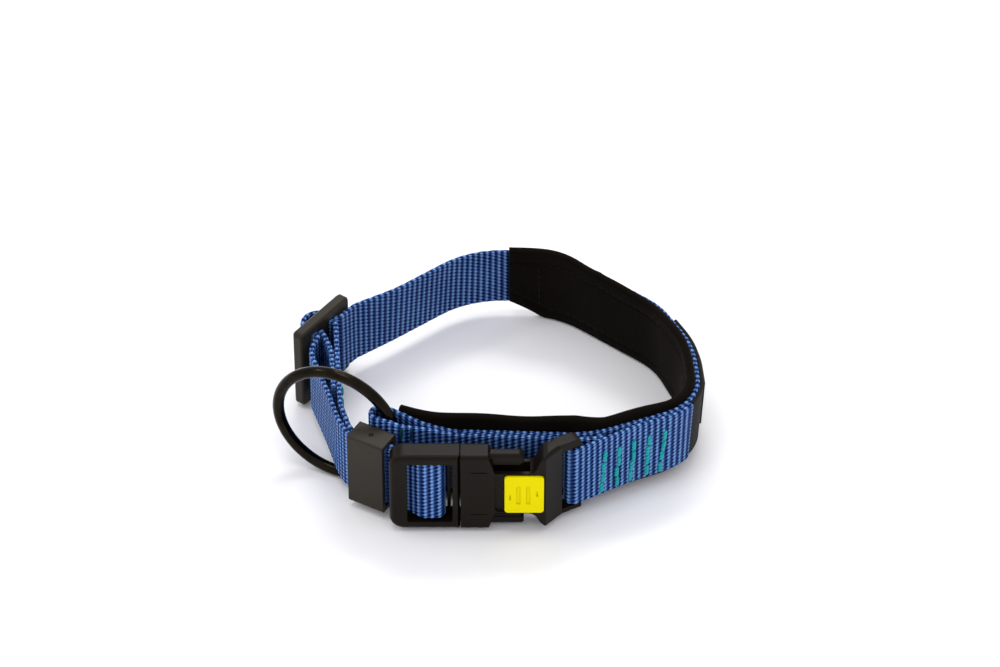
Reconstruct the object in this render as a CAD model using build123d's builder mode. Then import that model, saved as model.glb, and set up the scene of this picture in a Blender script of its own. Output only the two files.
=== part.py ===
from build123d import *

import os
from math import atan2, copysign, cos, pi, radians, remainder, sin, tan

# Adjustable webbing dog collar, closed and standing on its lower edge.
# Millimetres, +Z up, the buckle faces -Y, origin under the middle of the collar on the floor.
# A plan route is a list of (x, y, bend radius) corners, walked with the outside on the right.

# Driving dimensions
WEB_W = 25.0                # webbing width
WEB_T = 1.8                 # webbing thickness
LINING_H = 35.0             # neoprene lining height at the front
LINING_REAR_H = 32.6        # and round the right-hand side and the rear
LINING_T = 3.0              # neoprene lining thickness
MID_Z = 17.5                # height of the webbing's middle
LAP = 0.1                   # air between webbing layers that lie on each other
END_L = 0.1                 # straight length after a bend that ends a band
RING_R = 22.0               # O-ring, middle of the wire
RING_WIRE_R = 2.0
BUCKLE_T = 8.0              # buckle, front to back
BUCKLE_HALF_H = 16.5
RUN_GAP = 0.3               # air between plastic parts that move past each other
FIT_GAP = 0.15              # webbing to the plastic it wraps

WEB_LOW = MID_Z - WEB_W / 2
WEB_HIGH = MID_Z + WEB_W / 2
HALF_T = WEB_T / 2
LAYER = WEB_T + LAP         # from one layer's middle to the next
ON_LINING = HALF_T + LAP / 2

# Collar route: the face between the lining and the main strap, from the ring to the slider
TIP = (-31.0, -34.3, 0)
FRONT_LEFT = (-21.35, -38.4, 30)
FRONT_MID = (-10.0, -38.85, 0)
FRONT_RIGHT = (34.0, -40.6, 40)
SIDE_FRONT = (68.6, -25.0, 18)
SIDE_REAR = (68.8, 4.0, 40)
REAR_RIGHT = (60.2, 26.0, 30)
REAR_MID = (24.0, 56.3, 35)
LINING_END = (6.7, 56.41, 0)
REAR_LEFT = (-8.0, 56.5, 35)
REAR_DIP = (-34.0, 35.3, 60)

# The rear leans inwards as it rises, as far as the slider, and the side's front corner outwards
LEAN = 3.0                  # how far, over the lining's height
SIDE_LEAN = 3.0

# The main strap's end climbs towards the ring, whose middle stands higher than the collar's
LIFT = 5.0
LIFT_FROM_X = -12.0
LIFT_TO_X = -33.0

# O-ring: standing on the floor, its plane turned about Z
RING_AT = (-52.2, -29.6)
RING_HEADING = radians(-23)
RING_Z = RING_R + RING_WIRE_R

# Buckle: straight body along X, with the socket's strap frame bent back along the strap
BUCKLE_Y = -54.0
BUCKLE_FRONT = BUCKLE_Y - BUCKLE_T / 2
BUCKLE_BACK = BUCKLE_Y + BUCKLE_T / 2
PLUG_X = (-34.0, -10.2)
PLUG_SLOT_X = (-28.0, -12.6)
SLOT_HALF_H = 13.1
PLUG_BAR_X = (-22.0, -17.0)
PLUG_BAR_Y = (-55.2, -52.4)
SOCKET_X = -9.9
SHELL_T = 1.6
MOUTH_HALF_H = 14.9
WINDOW_X = (-0.6, 1.6)
WAIST_HALF_H = 8.9
SHOULDER_X = 19.4
CAVITY_X = 13.5
ARM_X = -9.6                # arm root, the middle of its flexure
ARM_HALF_Z = 12.5           # arm root above and below the buckle's middle
ARM_ROOT_R = 1.5
ARM_HALF_T = 1.8            # half the arm's thickness, front to back
PAD_X = 11.5
PAD_HALF_Z = 15.8
BUTTON_X = (4.9, 18.2)
BUTTON_HALF_H = 8.1
LOCK_TRAVEL = 3.0
SOCKET_BAR = (28.6, -46.9)
SOCKET_BAR_HEADING = radians(29)

# Slider and keeper
SLIDER_AT = (-59.0, 16.0)
SLIDER_HEADING = radians(54)
SLIDER_L = 27.0
SLIDER_H = 32.5
SLIDER_T = 4.4
SLIDER_R = 1.8              # its corners
SLIDER_SLOT_U = (2.2, 8.6)
SLIDER_BAR_V = (-1.6, 0.0)
KEEPER_AT = (-40.0, -44.7)
KEEPER_HEADING = radians(-29.7)
KEEPER_L = 13.7
KEEPER_H = 29.5
KEEPER_DEPTH = 9.2
KEEPER_HOLE = (5.8, 26.2)

# Label on the right-hand side, from the end of the buckle strap, where the strap travels at
STRAP_END = radians(52)
LABEL_START = radians(55)
PATCH_T = 1.2
PATCH_INSET = 0.4           # from the webbing's edges
PATCH_TO = 0.627            # share of the wall after the side's rear corner
BADGE_FROM = 0.43           # share of the wall before that corner
BADGE_TO = 0.527
BADGE_T = 0.8
BADGE_H = 19.0


def heading(a, b):
    """Direction of travel from one corner to the next, in radians."""
    return atan2(b[1] - a[1], b[0] - a[0])


def shifted(route, distance):
    """The route moved sideways, positive outwards, with its bends kept concentric."""
    moved = []
    last = len(route) - 1
    for i, (x, y, radius) in enumerate(route):
        into = heading(route[max(i - 1, 0)], route[max(i, 1)])
        out = heading(route[min(i, last - 1)], route[min(i + 1, last)])
        turn = remainder(out - into, 2 * pi)
        reach = distance / cos(turn / 2)
        side = into + turn / 2 - pi / 2
        bend = radius + distance * copysign(1, turn) if radius else 0
        moved.append((x + reach * cos(side), y + reach * sin(side), bend))
    return moved


def along(corner, distance, direction, bend):
    """The corner at a distance in a direction from another."""
    return (corner[0] + distance * cos(direction), corner[1] + distance * sin(direction), bend)


def cut_bend(before, corner, after, direction):
    """A bend's corner and the route's end, where the bend stops at a direction of travel."""
    into = heading(before, corner)
    whole = abs(remainder(heading(corner, after) - into, 2 * pi))
    part = abs(remainder(direction - into, 2 * pi))
    reach = corner[2] * tan(part / 2)
    turn = along(corner, reach - corner[2] * tan(whole / 2), into, corner[2])
    return [turn, along(turn, reach + END_L, direction, 0)]


def between(a, b, share):
    """A corner without a bend on the way from one corner to another."""
    return (a[0] + share * (b[0] - a[0]), a[1] + share * (b[1] - a[1]), 0)


def placed(origin, direction, points):
    """Corners given along and left of a direction at an origin, as corners in plan."""
    c, s = cos(direction), sin(direction)
    return [(origin[0] + a * c - b * s, origin[1] + a * s + b * c, r) for a, b, r in points]


def band_face(route, thickness, level):
    """Plan face of a band: the rounded route, traced to its thickness."""
    with BuildSketch(Plane.XY.offset(level)) as face:
        with BuildLine():
            FilletPolyline(*[(x, y) for x, y, _ in route], radius=[r for _, _, r in route[1:-1]])
        trace(line_width=thickness)
    return face.sketch


def webbing(route):
    """A run of webbing standing on its edge, as a part of its own."""
    with BuildPart() as run:
        extrude(band_face(route, WEB_T, WEB_LOW), amount=WEB_W)
    return run


def ends_of(route_at, thickness, low, high):
    """A leaning band's lower and upper faces."""
    return [band_face(route_at(level), thickness, level).face() for level in (low, high)]


def leaning_band(route_at, thickness, low, high):
    """A band between two heights, ruled between its routes at both."""
    with BuildPart() as band:
        loft(ends_of(route_at, thickness, low, high), ruled=True)
    return band


def station(route, distance, height, proud):
    """Plane on a band's outer side at a distance along its route, facing outwards."""
    with BuildLine() as line:
        FilletPolyline(*[(x, y) for x, y, _ in route], radius=[r for _, _, r in route[1:-1]])
    path = line.wires()[0]
    spot = path.position_at(distance, position_mode=PositionMode.LENGTH)
    along = path.tangent_at(distance, position_mode=PositionMode.LENGTH)
    outward = Vector(along.Y, -along.X, 0)
    return Plane(Vector(spot.X, spot.Y, height) + outward * proud, x_dir=along, z_dir=outward)


def finish(piece, name):
    """Name a finished piece and write it."""
    piece.part.label = name
    export_step(piece.part, f"parts/{name}.step")


os.makedirs("parts", exist_ok=True)

# ---------------------------------------------------------------- lining and main strap

lining_route = [TIP, FRONT_LEFT, FRONT_RIGHT, SIDE_FRONT, SIDE_REAR, REAR_RIGHT, REAR_MID,
                LINING_END]
TAPER_L = 12.0              # length of the lining's tapered ends
FRONT_TAPER = 10.0          # how high the lower edge is cut at the front end
REAR_TAPER = 7.5            # and at the rear end
FALL_X = (29.0, 39.0)       # the upper edge falls to the lower height between these

SIDE_REAR_AT = lining_route.index(SIDE_REAR)


def collar_at(level):
    """The whole face between the lining and the strap, at a height."""
    rise = level / LINING_H
    side_front = (SIDE_FRONT[0] + SIDE_LEAN * rise, *SIDE_FRONT[1:])
    return [*lining_route[:SIDE_REAR_AT - 1], side_front, SIDE_REAR,
            *shifted(lining_route, -LEAN * rise)[SIDE_REAR_AT + 1:]]


def lining_at(level):
    """The lining's middle at a height."""
    return shifted(collar_at(level), -LINING_T / 2)


with BuildPart() as neoprene_lining:
    loft(ends_of(lining_at, LINING_T, 0, LINING_H), ruled=True)
    with BuildSketch(Plane.XZ):
        with BuildLine():
            Polyline((TIP[0] - 3, -1), (TIP[0] + TAPER_L + 2, -1), (TIP[0] + TAPER_L + 2, 0),
                     (TIP[0] - 3, FRONT_TAPER + 2), close=True)
        make_face()
    extrude(amount=60, both=True, mode=Mode.SUBTRACT)
    with BuildSketch(Plane.XZ):
        with BuildLine():
            Polyline((FALL_X[0], LINING_H), (FALL_X[1], LINING_REAR_H), (90, LINING_REAR_H),
                     (90, LINING_H + 1), (FALL_X[0], LINING_H + 1), close=True)
        make_face()
    extrude(amount=70, both=True, mode=Mode.SUBTRACT)
    with BuildSketch(Plane.XZ.offset(-40)):
        with BuildLine():
            Polyline((LINING_END[0] - 1, REAR_TAPER), (LINING_END[0], REAR_TAPER),
                     (LINING_END[0] + TAPER_L, 0), (LINING_END[0] + TAPER_L, -1),
                     (LINING_END[0] - 1, -1), close=True)
        make_face()
        with BuildLine():
            Polyline((LINING_END[0] - 1, LINING_REAR_H - 0.8), (LINING_END[0], LINING_REAR_H - 0.8),
                     (LINING_END[0] + TAPER_L, LINING_REAR_H), (FALL_X[1] + 1, LINING_REAR_H),
                     (FALL_X[1] + 1, LINING_H + 1), (LINING_END[0] - 1, LINING_H + 1), close=True)
        make_face()
    extrude(amount=-30, mode=Mode.SUBTRACT)
finish(neoprene_lining, "neoprene_lining")

strap_lined_run = leaning_band(lambda level: shifted([FRONT_MID] + collar_at(level)[2:], ON_LINING),
                               WEB_T, WEB_LOW, WEB_HIGH)
finish(strap_lined_run, "strap_lined_run")

# Ring loop: the strap's end doubles back outside itself after passing round the ring
ring_side = (cos(RING_HEADING), sin(RING_HEADING))
POCKET_HALF = RING_WIRE_R + FIT_GAP + HALF_T
BEND_AT = 16.2              # loop's bend, measured from the ring's middle
FOLD_END_X = 22.0
bend = placed(RING_AT, RING_HEADING, [
    (BEND_AT - POCKET_HALF, POCKET_HALF, POCKET_HALF - 0.01),
    (BEND_AT - POCKET_HALF, -POCKET_HALF, POCKET_HALF - 0.01),
    (BEND_AT + 8.6, -POCKET_HALF, 6),
])
start_near = shifted([TIP, FRONT_LEFT, FRONT_MID], ON_LINING)[1:]
fold_out = shifted([FRONT_LEFT, FRONT_RIGHT], HALF_T + LAYER + LAP)
fold_slope = (fold_out[1][1] - fold_out[0][1]) / (fold_out[1][0] - fold_out[0][0])
fold_end_y = fold_out[0][1] + fold_slope * (FOLD_END_X - fold_out[0][0])
ring_loop_route = [
    start_near[1], start_near[0], *bend,
    (fold_out[0][0], fold_out[0][1], 18), (FOLD_END_X, fold_end_y, 0)]

with BuildPart() as strap_ring_loop:
    extrude(band_face(ring_loop_route, WEB_T, WEB_LOW), amount=WEB_W + LIFT)
    with BuildSketch(Plane.XZ):
        with BuildLine():
            Polyline((FOLD_END_X + 5, WEB_LOW), (LIFT_FROM_X, WEB_LOW),
                     (LIFT_TO_X, WEB_LOW + LIFT), (-60, WEB_LOW + LIFT),
                     (-60, WEB_HIGH + LIFT), (LIFT_TO_X, WEB_HIGH + LIFT),
                     (LIFT_FROM_X, WEB_HIGH), (FOLD_END_X + 5, WEB_HIGH), close=True)
        make_face()
    extrude(amount=60, both=True, mode=Mode.INTERSECT)
finish(strap_ring_loop, "strap_ring_loop")

# ---------------------------------------------------------------- adjuster end of the strap

# The webbing's places in the slider, as (along, left of the heading) corners
END_LOOP_U = SLIDER_SLOT_U[0] + FIT_GAP + HALF_T
END_LOOP_V = SLIDER_BAR_V[1] + FIT_GAP + HALF_T
WRAP_U = END_LOOP_U + LAYER + 0.2
WRAP_V = END_LOOP_V + LAYER
APPROACH_V = -SLIDER_T / 2 - 0.4 - HALF_T
CUT_V = -0.3                # where runs fixed to the collar stop, inside the slider's slots


def in_slider(points):
    """Corners in the slider's own directions, as corners in plan."""
    return placed(SLIDER_AT, SLIDER_HEADING, points)


def in_keeper(points):
    """Corners in the keeper's own directions, as corners in plan."""
    return placed(KEEPER_AT, KEEPER_HEADING, points)


to_slider = in_slider([(14, APPROACH_V - HALF_T, 12), (WRAP_U, APPROACH_V - HALF_T, 0)])


def rear_at(level):
    """The bare rear run's middle at a height; it stands straight again in the slider."""
    upright = [REAR_MID, LINING_END, REAR_LEFT, REAR_DIP, *to_slider]
    leant = shifted(upright, -LEAN * level / LINING_H)[:4] + to_slider
    return [*shifted(leant, ON_LINING)[1:5],
            *in_slider([(WRAP_U, APPROACH_V, 1.6), (WRAP_U, CUT_V, 0)])]


strap_rear_run = leaning_band(rear_at, WEB_T, WEB_LOW, WEB_HIGH)
finish(strap_rear_run, "strap_rear_run")

strap_slider_wrap = webbing(in_slider([(WRAP_U, CUT_V + 0.4, 0), (WRAP_U, WRAP_V, 1.6),
                                       (-WRAP_U, WRAP_V, 1.6), (-WRAP_U, CUT_V + 0.4, 0)]))
finish(strap_slider_wrap, "strap_slider_wrap")

KEEPER_LANE = 1.0           # each layer's middle from the keeper's middle
STRAIGHT_FROM = -KEEPER_L / 2 - 1.8     # the layers run straight from here through the keeper
outer_route = in_slider([(-WRAP_U, CUT_V, 0), (-WRAP_U, APPROACH_V, 2)])
outer_route += [(-62.3, 1.5, 12), (-55.6, -19.5, 60), (-51.6, -33.5, 12)]
outer_route += in_keeper([(STRAIGHT_FROM, -KEEPER_LANE, 9), (0, -KEEPER_LANE, 0)])
strap_outer_run = webbing(outer_route)
finish(strap_outer_run, "strap_outer_run")

inner_route = in_slider([(END_LOOP_U, CUT_V - 0.4, 0), (END_LOOP_U, -4.2, 2.5)])
inner_route += [(-52.9, 2.0, 20), (-51.0, -26.0, 15)]
inner_route += in_keeper([(STRAIGHT_FROM, KEEPER_LANE, 9), (0, KEEPER_LANE, 0)])
strap_inner_run = webbing(inner_route)
finish(strap_inner_run, "strap_inner_run")

# The strap's far end wraps the slider's middle bar and is sewn onto the inner run
SEWN_END = (-51.61, -17.0)
beside_inner = shifted([inner_route[1], inner_route[2], (*SEWN_END, 0)], LAYER)
sewn_route = in_slider([(END_LOOP_U, CUT_V, 0), (END_LOOP_U, END_LOOP_V, 1.3),
                        (-END_LOOP_U, END_LOOP_V, 1.3), (-END_LOOP_U, -3.4, 2)])
sewn_route += beside_inner[1:]
strap_sewn_end = webbing(sewn_route)
finish(strap_sewn_end, "strap_sewn_end")

# Both layers leave the keeper, pass behind the plug's outer bar and wrap its middle bar
LOOP_FRONT_Y = PLUG_BAR_Y[0] - FIT_GAP - HALF_T
LOOP_BACK_Y = PLUG_BAR_Y[1] + FIT_GAP + HALF_T
LOOP_X = PLUG_BAR_X[1] + 0.3 + HALF_T
LOOP_R = (LOOP_BACK_Y - LOOP_FRONT_Y) / 2 - 0.01
keeper_out = in_keeper([(KEEPER_L / 2, -KEEPER_LANE, 20), (KEEPER_L / 2, KEEPER_LANE, 20)])
plug_loop_route = [
    *in_keeper([(0, -KEEPER_LANE, 0)]), keeper_out[0], (-27.3, -52.4, 4),
    (PLUG_BAR_X[0] - 0.8, LOOP_FRONT_Y, 2.2), (LOOP_X, LOOP_FRONT_Y, LOOP_R),
    (LOOP_X, LOOP_BACK_Y, LOOP_R), (PLUG_BAR_X[0] - 2.2, LOOP_BACK_Y, 6), keeper_out[1],
    *in_keeper([(0, KEEPER_LANE, 0)])]
strap_plug_loop = webbing(plug_loop_route)
finish(strap_plug_loop, "strap_plug_loop")

# ---------------------------------------------------------------- slider, keeper and ring

slider_plane = Plane((*SLIDER_AT, MID_Z), x_dir=(cos(SLIDER_HEADING), sin(SLIDER_HEADING), 0),
                     z_dir=(sin(SLIDER_HEADING), -cos(SLIDER_HEADING), 0))
with BuildPart() as slider:
    with BuildSketch(slider_plane):
        RectangleRounded(SLIDER_L, SLIDER_H, SLIDER_R)
    extrude(amount=SLIDER_T / 2, both=True)
    through = Axis(slider_plane.origin, slider_plane.z_dir)
    chamfer(slider.faces().sort_by(through)[0].edges(), 1.0)
    chamfer(slider.faces().sort_by(through)[-1].edges(), 0.6)
    slot_mid = sum(SLIDER_SLOT_U) / 2
    with BuildSketch(slider_plane):
        with Locations((slot_mid, 0), (-slot_mid, 0)):
            RectangleRounded(SLIDER_SLOT_U[1] - SLIDER_SLOT_U[0], 2 * SLOT_HALF_H, 0.8)
    extrude(amount=SLIDER_T, both=True, mode=Mode.SUBTRACT)
    for face_v, far_v in ((-SLIDER_BAR_V[0], SLIDER_T), (-SLIDER_BAR_V[1], -SLIDER_T)):
        with BuildSketch(slider_plane.offset(face_v)):
            Rectangle(2 * SLIDER_SLOT_U[0] + 0.1, 2 * SLOT_HALF_H)
        extrude(amount=far_v, mode=Mode.SUBTRACT)
finish(slider, "slider")

keeper_plane = Plane((*KEEPER_AT, MID_Z), x_dir=(cos(KEEPER_HEADING), sin(KEEPER_HEADING), 0),
                     z_dir=(-sin(KEEPER_HEADING), cos(KEEPER_HEADING), 0))
keeper_end = Plane(keeper_plane.origin, x_dir=keeper_plane.z_dir, z_dir=keeper_plane.x_dir)
GATE_R = 0.9
with BuildPart() as keeper:
    with BuildSketch(keeper_end):
        RectangleRounded(KEEPER_DEPTH, KEEPER_H, 0.9)
        Rectangle(*KEEPER_HOLE, mode=Mode.SUBTRACT)
    extrude(amount=KEEPER_L / 2, both=True)
    with Locations(Location((*KEEPER_AT, MID_Z + KEEPER_H / 2))):
        Sphere(GATE_R, mode=Mode.SUBTRACT)
finish(keeper, "keeper")

with BuildPart(Plane((*RING_AT, RING_Z), z_dir=(-ring_side[1], ring_side[0], 0))) as o_ring:
    Torus(RING_R, RING_WIRE_R)
finish(o_ring, "o_ring")

# ---------------------------------------------------------------- buckle plug

front_view = Plane((0, BUCKLE_Y, MID_Z), x_dir=(1, 0, 0), z_dir=(0, -1, 0))
GUIDE_X = -1.0
GUIDE_HALF_H = 2.5
OUTER_BAR_BACK = -53.5
RIB_X = (-14.5, -13.3)      # a thin wall across the slot's back, right of the webbing
RIB_Y = (-51.8, -50.2)

with BuildPart() as plug_base:
    with BuildSketch(front_view):
        with Locations(((PLUG_X[0] + PLUG_X[1]) / 2, 0)):
            Rectangle(PLUG_X[1] - PLUG_X[0], 2 * BUCKLE_HALF_H)
    extrude(amount=BUCKLE_T / 2, both=True)
    fillet(plug_base.edges().filter_by(Axis.Y).group_by(Axis.X)[0], 5)
    fillet(plug_base.faces().sort_by(Axis.Y)[0].edges(), 1.8)
    fillet(plug_base.faces().sort_by(Axis.Y)[-1].edges().sort_by(Axis.X)[:-1], 1.2)
    with BuildSketch(front_view):
        with Locations(((PLUG_SLOT_X[0] + PLUG_SLOT_X[1]) / 2, 0)):
            RectangleRounded(PLUG_SLOT_X[1] - PLUG_SLOT_X[0], 2 * SLOT_HALF_H, 0.8)
    extrude(amount=BUCKLE_T, both=True, mode=Mode.SUBTRACT)
    with BuildSketch(Plane((0, OUTER_BAR_BACK, MID_Z), x_dir=(1, 0, 0), z_dir=(0, -1, 0))):
        with Locations((PLUG_SLOT_X[0], 0)):
            Rectangle(2 * (PLUG_SLOT_X[0] - PLUG_X[0]) + 2, 2 * SLOT_HALF_H)
    extrude(amount=-BUCKLE_T, mode=Mode.SUBTRACT)
    with BuildSketch(Plane.XY.offset(MID_Z - SLOT_HALF_H - 0.5)):
        with Locations((sum(PLUG_BAR_X) / 2, sum(PLUG_BAR_Y) / 2)):
            RectangleRounded(PLUG_BAR_X[1] - PLUG_BAR_X[0], PLUG_BAR_Y[1] - PLUG_BAR_Y[0], 1.2)
    extrude(amount=2 * SLOT_HALF_H + 1)
    with Locations((sum(RIB_X) / 2, sum(RIB_Y) / 2, MID_Z)):
        Box(RIB_X[1] - RIB_X[0], RIB_Y[1] - RIB_Y[0], 2 * SLOT_HALF_H + 1)
    with Locations(((PLUG_X[1] + GUIDE_X) / 2 - 0.5, BUCKLE_Y, MID_Z)):
        Box(GUIDE_X - PLUG_X[1] + 1, 2 * ARM_HALF_T, 2 * GUIDE_HALF_H)
    with BuildSketch(front_view):
        with Locations((ARM_X, ARM_HALF_Z), (ARM_X, -ARM_HALF_Z)):
            Circle(ARM_ROOT_R + RUN_GAP)
    extrude(amount=ARM_HALF_T + RUN_GAP, both=True, mode=Mode.SUBTRACT)
finish(plug_base, "plug_base")

CATCH_GAP = 0.4
PAD_THICK_FROM = 12.4       # the finger pad is thicker outside this half height
PAD_HALF_T = 2.1            # thin enough to slide out through the socket's mouth
BEAM = (11.2, 13.8)         # the arm's inner and outer faces, from the buckle's middle
window_slope = (WINDOW_X[1] - WINDOW_X[0]) / (BUCKLE_HALF_H - WAIST_HALF_H)


def window_edge(half_height):
    """Where the socket's window starts, at a height from the buckle's middle."""
    return WINDOW_X[0] + (BUCKLE_HALF_H - half_height) * window_slope


def side_arm(sign):
    """One of the plug's two sprung arms; sign +1 is the upper one."""
    catch = [window_edge(z) + CATCH_GAP for z in (PAD_HALF_Z, PAD_THICK_FROM)]
    with BuildPart() as arm:
        with BuildSketch(front_view):
            with Locations((ARM_X, sign * ARM_HALF_Z)):
                Circle(ARM_ROOT_R)
            with BuildLine():
                Polyline((ARM_X, sign * BEAM[0]), (PAD_X - 1.5, sign * BEAM[0]),
                         (PAD_X, sign * (BEAM[0] + 1.5)), (PAD_X, sign * (PAD_HALF_Z - 1.6)),
                         (PAD_X - 1.6, sign * PAD_HALF_Z), (catch[0], sign * PAD_HALF_Z),
                         (window_edge(BEAM[1]) + CATCH_GAP, sign * BEAM[1]),
                         (ARM_X, sign * BEAM[1]), close=True)
            make_face()
        extrude(amount=ARM_HALF_T, both=True)
        with BuildSketch(front_view):
            with BuildLine():
                Polyline((catch[1], sign * PAD_THICK_FROM), (PAD_X - 0.6, sign * PAD_THICK_FROM),
                         (PAD_X, sign * (PAD_HALF_Z - 1.6)), (PAD_X - 1.6, sign * PAD_HALF_Z),
                         (catch[0], sign * PAD_HALF_Z), close=True)
            make_face()
        extrude(amount=PAD_HALF_T, both=True)
        outer_faces = arm.faces().filter_by(Axis.Z).group_by(Axis.Z)[-1 if sign > 0 else 0]
        fillet(outer_faces.edges().filter_by(Axis.X), 1.4)
    return arm


plug_arm_upper = side_arm(1)
finish(plug_arm_upper, "plug_arm_upper")
plug_arm_lower = side_arm(-1)
finish(plug_arm_lower, "plug_arm_lower")

# ---------------------------------------------------------------- buckle socket and lock button

bar_plane = Plane((*SOCKET_BAR, MID_Z),
                  x_dir=(cos(SOCKET_BAR_HEADING), sin(SOCKET_BAR_HEADING), 0),
                  z_dir=(sin(SOCKET_BAR_HEADING), -cos(SOCKET_BAR_HEADING), 0))
bar_foot = Plane((*SOCKET_BAR, MID_Z - SLOT_HALF_H - 0.5), x_dir=bar_plane.x_dir, z_dir=(0, 0, 1))
FRAME_HALF_T = 2.2          # the bent strap frame, front to back
FRAME_R = 2.4               # its two outer corners
FRAME_ROOT = 3.2            # how far it reaches into the socket's body
SHOULDER_LOW = 14.9         # its lower rail ends this far below the buckle's middle
BAR_HALF = (1.6, 1.3)       # the bar that the buckle strap wraps
SOCKET_SLOT_U = (-5.9, -BAR_HALF[0])
FLAT_TO_X = 18.8            # the front stays flat as far as the button's end
RECESS_DEPTH = 0.8
BEYOND_X = 34.0             # past the socket's strap frame
STEM_X = (9.5, 12.5)
STEM_HALF_H = 3.0
slot_front, slot_back = placed(SOCKET_BAR, SOCKET_BAR_HEADING, [
    (SOCKET_SLOT_U[0], -FRAME_HALF_T, 0), (SOCKET_SLOT_U[0], FRAME_HALF_T, 0)])

with BuildPart() as buckle_socket:
    with BuildSketch(Plane.XY.offset(MID_Z - BUCKLE_HALF_H)):
        with BuildLine():
            Polyline((SOCKET_X, BUCKLE_FRONT), (FLAT_TO_X, BUCKLE_FRONT), slot_front[:2],
                     slot_back[:2], (SHOULDER_X - 2.5, BUCKLE_BACK), (SOCKET_X, BUCKLE_BACK),
                     close=True)
        make_face()
    extrude(amount=2 * BUCKLE_HALF_H)
    long_edges = buckle_socket.faces().filter_by(Axis.Z).edges().filter_by(Axis.Z, reverse=True)
    fillet(long_edges.filter_by(lambda e: e.center().X > SOCKET_X + 1), 1.5)
    with BuildSketch(bar_plane):
        with Locations(((SOCKET_SLOT_U[0] - FRAME_ROOT + BAR_HALF[0]) / 2, 0)):
            RectangleRounded(BAR_HALF[0] - SOCKET_SLOT_U[0] + FRAME_ROOT, 2 * BUCKLE_HALF_H,
                             FRAME_R)
        with Locations(((SOCKET_SLOT_U[0] + BAR_HALF[0]) / 2 + 1, 0)):
            Rectangle(BAR_HALF[0] - SOCKET_SLOT_U[0] + 2, 2 * SLOT_HALF_H, mode=Mode.SUBTRACT)
    extrude(amount=FRAME_HALF_T, both=True)
    with BuildSketch(bar_foot):
        RectangleRounded(2 * BAR_HALF[0], 2 * BAR_HALF[1], 1.1)
    extrude(amount=2 * SLOT_HALF_H + 1)
    # the two finger windows
    with BuildSketch(front_view):
        for sign, rail in ((1, BUCKLE_HALF_H), (-1, SHOULDER_LOW)):
            with BuildLine():
                Polyline((BEYOND_X, sign * rail), (BEYOND_X, sign * (BUCKLE_HALF_H + 1)),
                         (WINDOW_X[0], sign * (BUCKLE_HALF_H + 1)),
                         (WINDOW_X[0], sign * BUCKLE_HALF_H), (WINDOW_X[1], sign * WAIST_HALF_H),
                         (CAVITY_X - 1, sign * WAIST_HALF_H))
                Spline((CAVITY_X - 1, sign * WAIST_HALF_H), (SHOULDER_X, sign * rail),
                       tangents=[(1, 0), (1, sign * 0.2)])
                Line((SHOULDER_X, sign * rail), (BEYOND_X, sign * rail))
            make_face()
    extrude(amount=BUCKLE_T, both=True, mode=Mode.SUBTRACT)
    # the cavity that takes the plug
    with Locations(((SOCKET_X + CAVITY_X) / 2 - 0.5, BUCKLE_Y, MID_Z)):
        Box(CAVITY_X - SOCKET_X + 1, BUCKLE_T - 2 * SHELL_T, 2 * MOUTH_HALF_H, mode=Mode.SUBTRACT)
    # the lock button's recess and slot
    front_face = front_view.offset(BUCKLE_T / 2)
    recess = (BUTTON_X[0] - LOCK_TRAVEL - RUN_GAP, BUTTON_X[1] + RUN_GAP)
    with BuildSketch(front_face):
        with Locations((sum(recess) / 2, 0)):
            RectangleRounded(recess[1] - recess[0], 2 * (BUTTON_HALF_H + RUN_GAP), 1.5)
    extrude(amount=-RECESS_DEPTH, mode=Mode.SUBTRACT)
    stem_slot = (STEM_X[0] - LOCK_TRAVEL - RUN_GAP, STEM_X[1] + RUN_GAP)
    with BuildSketch(front_face):
        with Locations((sum(stem_slot) / 2, 0)):
            Rectangle(stem_slot[1] - stem_slot[0], 2 * (STEM_HALF_H + RUN_GAP))
    extrude(amount=-SHELL_T - 0.5, mode=Mode.SUBTRACT)
    # two short moulded lines across the mouth
    with BuildSketch(front_face):
        with Locations((-3.6, 9.5), (-3.6, -9.5)):
            Rectangle(5.6, 0.5)
    extrude(amount=-0.3, mode=Mode.SUBTRACT)
finish(buckle_socket, "buckle_socket")

BUTTON_PROUD = 0.9
GRIP_DEPTH = 0.5            # the button's two grip grooves and two tick marks
FOOT_T = 1.0
with BuildPart() as lock_button:
    with BuildSketch(front_face.offset(RUN_GAP - RECESS_DEPTH)):
        with Locations((sum(BUTTON_X) / 2, 0)):
            RectangleRounded(BUTTON_X[1] - BUTTON_X[0], 2 * BUTTON_HALF_H, 1.3)
    extrude(amount=RECESS_DEPTH - RUN_GAP + BUTTON_PROUD)
    fillet(lock_button.faces().sort_by(Axis.Y)[0].edges(), 0.4)
    with BuildSketch(front_face.offset(BUTTON_PROUD)):
        with Locations((9.6, 0), (12.9, 0)):
            Rectangle(1.3, 8.0)
        with Locations((6.8, -1.0), (15.9, 0.6)):
            Rectangle(0.45, 2.2)
    extrude(amount=-GRIP_DEPTH, mode=Mode.SUBTRACT)
    with BuildSketch(front_face.offset(RUN_GAP - RECESS_DEPTH)):
        with Locations((sum(STEM_X) / 2, 0)):
            Rectangle(STEM_X[1] - STEM_X[0], 2 * STEM_HALF_H)
    extrude(amount=-(SHELL_T - RECESS_DEPTH + 2 * RUN_GAP))
    with BuildSketch(front_face.offset(-SHELL_T - RUN_GAP)):
        with Locations(((STEM_X[0] + CAVITY_X) / 2 - 0.8, 0)):
            Rectangle(CAVITY_X - STEM_X[0] + 1.0, 2 * (BUTTON_HALF_H - 1.0))
    extrude(amount=-FOOT_T)
finish(lock_button, "lock_button")

# ---------------------------------------------------------------- buckle strap, label, threads

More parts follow.
